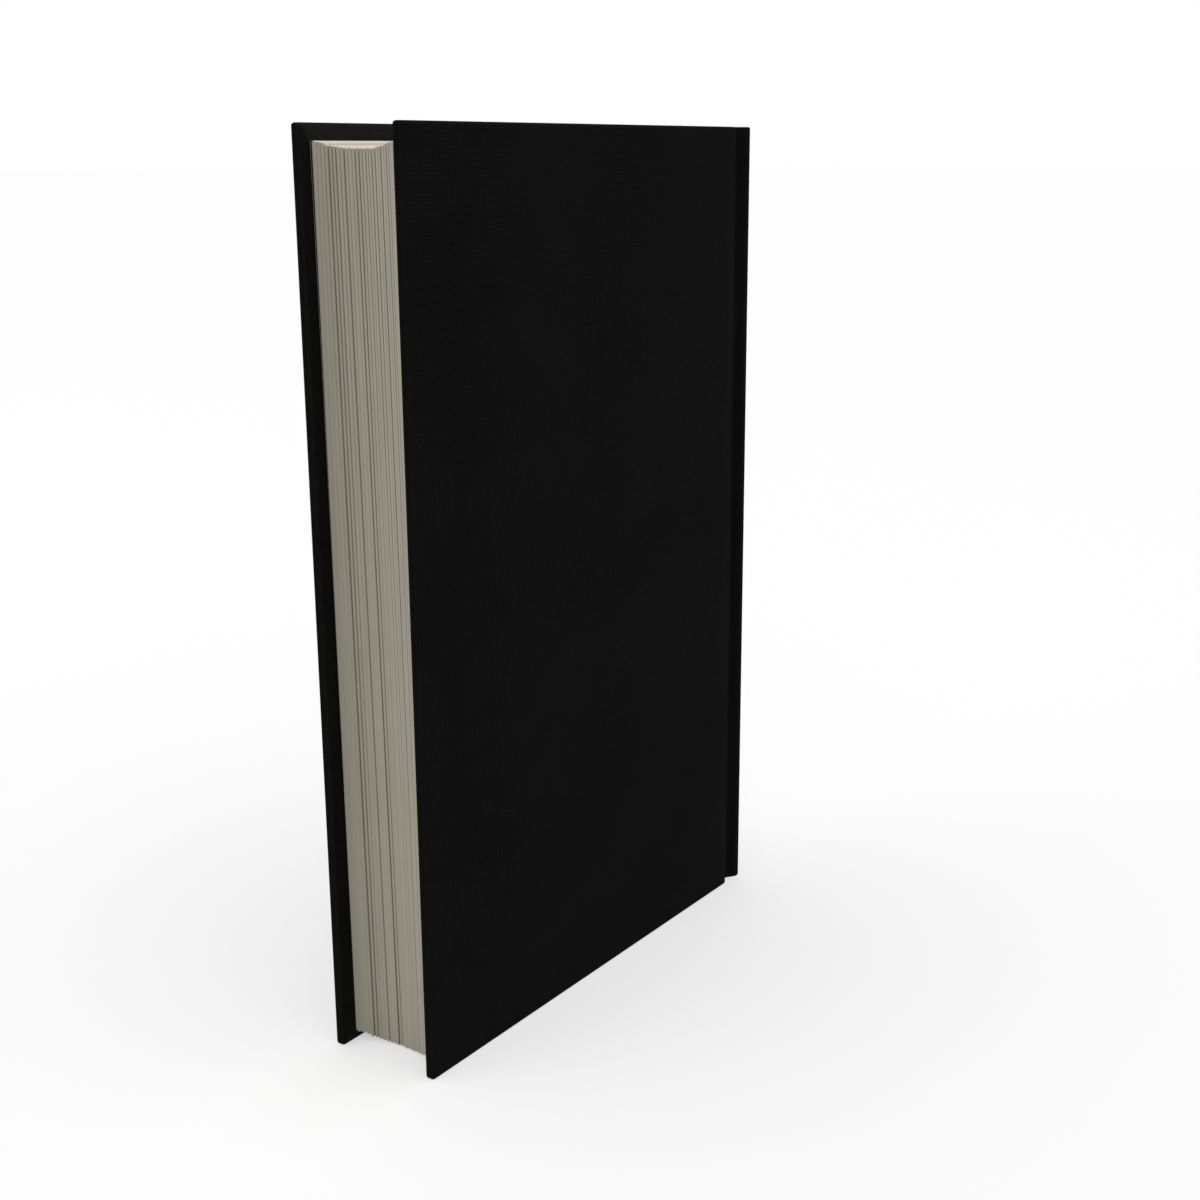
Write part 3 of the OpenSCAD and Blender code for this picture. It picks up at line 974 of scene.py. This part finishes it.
def joined_up(piece, material, sharp_angle):
    """Merges doubles, turns every face outwards and finishes the piece."""
    mesh = piece.data
    work = bmesh.new()
    work.from_mesh(mesh)
    bmesh.ops.remove_doubles(work, verts=work.verts, dist=0.001 * MM)
    bmesh.ops.recalc_face_normals(work, faces=work.faces)
    work.to_mesh(mesh)
    work.free()
    return finished(piece, material, sharp_angle)


def make_flyleaf(side, mirrored):
    """The black leaf beside the outermost section; its free edge stands off a little at the head."""
    flat_steps, fan_steps, free_steps, rises = 14, 6, 3, 30
    path = [leaf_edge(k / flat_steps, 0) for k in range(flat_steps + 1)]
    path += [leaf_edge(1, k / fan_steps) for k in range(1, fan_steps + 1)]
    path.reverse()

    def lean(k, rise):
        free = max(0, 1 - (len(path) - 1 - k) / free_steps)
        return FLYLEAF_CLEAR + FLYLEAF_CURL * free * rise**3

    name, thickness = f"{side}_flyleaf_sheet", FLYLEAF_T * FLYLEAF_SHARE
    # Its free edge is marked as a cut edge, whose greyer colour is partly a painted highlight.
    piece = strip_mesh(name, path, thickness, foot_z, head_z, rises, lean, mirrored, 1)
    joined_up(piece, endpaper, 40)
    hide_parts(f"{side}_flyleaf")
    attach(piece, "block")


def make_end_papers(side, mirrored):
    """Black paper over the ends of the layers on the spine: a lip from the shoulder's tip and a strip on the
    card's own end."""
    steps, rises = 4, 4
    tip = Vector((tip_x, tip_y))
    outward = (tip - Vector((0, spine_y))).normalized()
    aside = Vector((outward.y, -outward.x))

    def radial(near, off):
        reaches = [near + (LIP_REACH - near) * k / steps for k in range(steps, -1, -1)]
        return [tip + aside * off + outward * reach for reach in reaches]

    lip = radial(0, LIP_CLEAR) + [leaf_edge(1, LIP_FOOT) + LIP_FOOT_OFF]
    card_end = radial(CARD_PAPER_START, CARD_PAPER_CLEAR)
    for name, path, thickness, low, high in (
        ("endpaper_lip", lip, LIP_T, foot_z, head_z),
        ("card_end_paper", card_end, CARD_PAPER_T, strip_low.z, strip_high.z),
    ):
        piece = strip_mesh(f"{side}_{name}", path, thickness, low, high, rises, None, mirrored)
        joined_up(piece, endpaper, 60)
        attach(piece, "block")


def make_endpaper_fold(side, mirrored):
    """The black paper that crosses the joint, from the shoulder's tip to the pastedown."""
    steps, rises = 14, 4
    slope_end, overlap = 0.5 * MM, 0.02 * MM
    landing = Vector((0.03, 0.25)) * MM
    slope = []
    for k in range(steps, 0, -1):
        lift = FLYLEAF_T + FOLD_CLEAR + FOLD_LIFT * (k / steps) ** 4
        point = leaf_edge(1, k / steps) + Vector((lift, 0))
        if point.y > pastedown_high.y + slope_end:
            slope.append(point)
    end = Vector((pastedown_low.x, pastedown_high.y - overlap))
    path = slope + [end + landing, end]
    piece = strip_mesh(f"{side}_endpaper_fold", path, FOLD_T, foot_z, head_z, rises, None, mirrored)
    joined_up(piece, endpaper, 60)
    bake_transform(piece)


# Head and tail bands, by Geometry Nodes

def band_tree():
    """Silk wound in turns over a cord that follows the back of the leaves."""
    number, whole, stuff = "NodeSocketFloat", "NodeSocketInt", "NodeSocketMaterial"
    tree, nodes, given = new_tree("wound_band", {
        "Turns": (whole, BAND_TURNS),
        "Arc Radius": (number, mull_r),
        "Arc Centre": (number, spine_y),
        "Half Angle": (number, 0.6),
        "Cord Radius": (number, BAND_D / 2 + SILK_T),
        "Thread Radius": (number, SILK_THREAD_R),
        "Height": (number, head_z),
        "Silk": (stuff, None),
    })
    spots = nodes.add("GeometryNodeMeshLine", {}, {"Count": given["Turns"], "Offset": (0, 0, 0)})
    index = nodes.add("GeometryNodeInputIndex")
    angle = (index / (given["Turns"] - 1) * 2 - 1) * given["Half Angle"]
    reach = given["Arc Radius"] - BAND_D / 2
    spot = nodes.vector(angle.sin() * reach, angle.cos() * reach + given["Arc Centre"], given["Height"])
    arc = nodes.add("GeometryNodeSetPosition", {}, {"Geometry": spots, "Position": spot})

    def circle(resolution, radius):
        sockets = {"Resolution": resolution, "Radius": radius}
        return nodes.add("GeometryNodeCurvePrimitiveCircle", {}, sockets)

    path = circle(12, given["Cord Radius"] - given["Thread Radius"])
    thread = circle(5, given["Thread Radius"])
    turn = nodes.add("GeometryNodeCurveToMesh", {}, {"Curve": path, "Profile Curve": thread})
    upright = nodes.add("GeometryNodeTransform", {}, {"Geometry": turn, "Rotation": (0, math.pi / 2, 0)})
    facing = nodes.vector(0, 0, 0 - angle)
    sockets = {"Points": arc, "Instance": upright, "Rotation": facing}
    wound = nodes.add("GeometryNodeInstanceOnPoints", {}, sockets)
    end_tree(nodes, wound, given["Silk"])
    return tree


def make_band(name, tree, height):
    """Wound silk over the bead of the band's own node, which stays for its tape."""
    half = math.asin(leaves_x * BAND_SHARE / (mull_r - BAND_D / 2))
    piece = grown(name, tree, {"Height": height, "Half Angle": half, "Silk": silk}, silk, 60)
    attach(piece, "block")


# Camera, light and floor

CAMERA_PLACE = (277.337 * MM, -378.031 * MM, 232.875 * MM)
CAMERA_TURN, CAMERA_RISE, CAMERA_ROLL = 34.861, 14.79, -0.339
CAMERA_LENS = 50.438
CAMERA_SENSOR = 36
LIGHT_LEVEL = 0.25
LIGHT_ABOVE = 0.85
LIGHT_SIDE = 0.6
FLOOR_GREY = 0.5
FLOOR_GLOW = 0.5
FLOOR_HALF = 30.0


def place_camera():
    """The photograph's view: from the fore-edge side, a little above the middle."""
    turn, rise, roll = map(math.radians, (CAMERA_TURN, CAMERA_RISE, CAMERA_ROLL))
    back = Vector((math.sin(turn) * math.cos(rise), -math.cos(turn) * math.cos(rise), math.sin(rise)))
    right = Vector((math.cos(turn), math.sin(turn), 0))
    up = back.cross(right)
    level = right * math.cos(roll) + up * math.sin(roll)
    upright = up * math.cos(roll) - right * math.sin(roll)
    camera = in_scene("camera", bpy.data.cameras.new("camera"))
    camera.data.sensor_width = CAMERA_SENSOR
    camera.data.lens = CAMERA_LENS
    camera.data.clip_start = 0.01
    camera.matrix_world = Matrix((
        (level.x, upright.x, back.x, CAMERA_PLACE[0]),
        (level.y, upright.y, back.y, CAMERA_PLACE[1]),
        (level.z, upright.z, back.z, CAMERA_PLACE[2]),
        (0, 0, 0, 1),
    ))
    bpy.context.scene.camera = camera


def soft_box(name, place, aim, size, power):
    lamp = bpy.data.lights.new(name, "AREA")
    lamp.shape = "SQUARE"
    lamp.size = size
    lamp.energy = power
    box = in_scene(name, lamp)
    box.location = place
    box.rotation_euler = (Vector(place) - Vector(aim)).to_track_quat("Z", "Y").to_euler()


def seen_white(nodes):
    """1 where the camera, a reflection or a clear part looks straight at a thing."""
    path = nodes.tree.nodes.new("ShaderNodeLightPath")
    seen = Value(nodes, path.outputs["Is Camera Ray"])
    for ray in ("Is Glossy Ray", "Is Transmission Ray"):
        seen = seen.math("MAXIMUM", Value(nodes, path.outputs[ray]))
    return seen


def light_world():
    """Soft white light from all round, most of it from above and the right; straight on, it is seen white."""
    world = bpy.data.worlds.new("studio")
    bpy.context.scene.world = world
    world.use_nodes = True
    nodes = Nodes(world.node_tree)
    background = world.node_tree.nodes["Background"]
    background.inputs["Color"].default_value = colour(1, 1, 1)
    right, _, rise = nodes.parts(nodes.add("ShaderNodeTexCoord", output="Generated"))
    dome = LIGHT_LEVEL + LIGHT_ABOVE * rise.ramp(0.1, 0.9) + LIGHT_SIDE * right.ramp(0.1, 0.9)
    nodes.fill(background.inputs["Strength"], dome.towards(1, seen_white(nodes)))


def make_floor():
    """A plain pale floor: white where the camera sees it lit, and grey in the soft shadow."""
    mesh = bpy.data.meshes.new("floor")
    corners = [(x * FLOOR_HALF, y * FLOOR_HALF, 0) for x, y in ((-1, -1), (1, -1), (1, 1), (-1, 1))]
    mesh.from_pydata(corners, [], [(0, 1, 2, 3)])
    floor = in_scene("floor", mesh)
    grey = colour(FLOOR_GREY, FLOOR_GREY, FLOOR_GREY)
    material, nodes, shader = new_material(
        "floor", Base_Color=grey, Roughness=0.9, Specular_IOR_Level=0.0, Emission_Color=colour(1, 1, 1)
    )
    nodes.fill(shader.inputs["Emission Strength"], seen_white(nodes) * FLOOR_GLOW)
    mesh.materials.append(material)


# Making the book

cloth = book_cloth()
paper = leaf_paper()
endpaper = black_paper()
board = greyboard()
gauze = sized_mull()
kraft = kraft_lining()
silk = band_silk()

kept_nodes = {
    "spine_mull": gauze, "front_mull_flap": gauze, "back_mull_flap": gauze,
    "spine_lining": kraft, "spine_strip": board, "front_board": board, "back_board": board,
    "front_pastedown": endpaper, "back_pastedown": endpaper,
    "head_band": silk, "tail_band": silk,
}
for node, material in kept_nodes.items():
    slots = frame["nodes"][node].data.materials
    slots.clear()
    slots.append(material)

pages = grown("pages", leaves_tree(), {"Paper": paper}, paper, 35)
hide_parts("text_block")
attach(pages, "block")

spine = wrap_cloth("spine_covering", lines_across_spine())
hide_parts("spine_cloth")
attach(spine, "block")

for side, mirrored in (("front", True), ("back", False)):
    covering = wrap_cloth(f"{side}_covering", lines_across_cover(), mirrored, True)
    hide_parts(f"{side}_cloth")
    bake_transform(covering)
    make_flyleaf(side, mirrored)
    make_end_papers(side, mirrored)
    make_endpaper_fold(side, mirrored)

bands = band_tree()
bead_z = BAND_D / 2
make_band("head_band_silk", bands, head_z + bead_z)
make_band("tail_band_silk", bands, foot_z - bead_z)

place_camera()
light_world()
soft_box("front_light", place=(-0.9, -1.3, 0.9), aim=(0, -0.05, 0.12), size=0.9, power=3)
make_floor()
bpy.context.scene.view_settings.view_transform = "Standard"
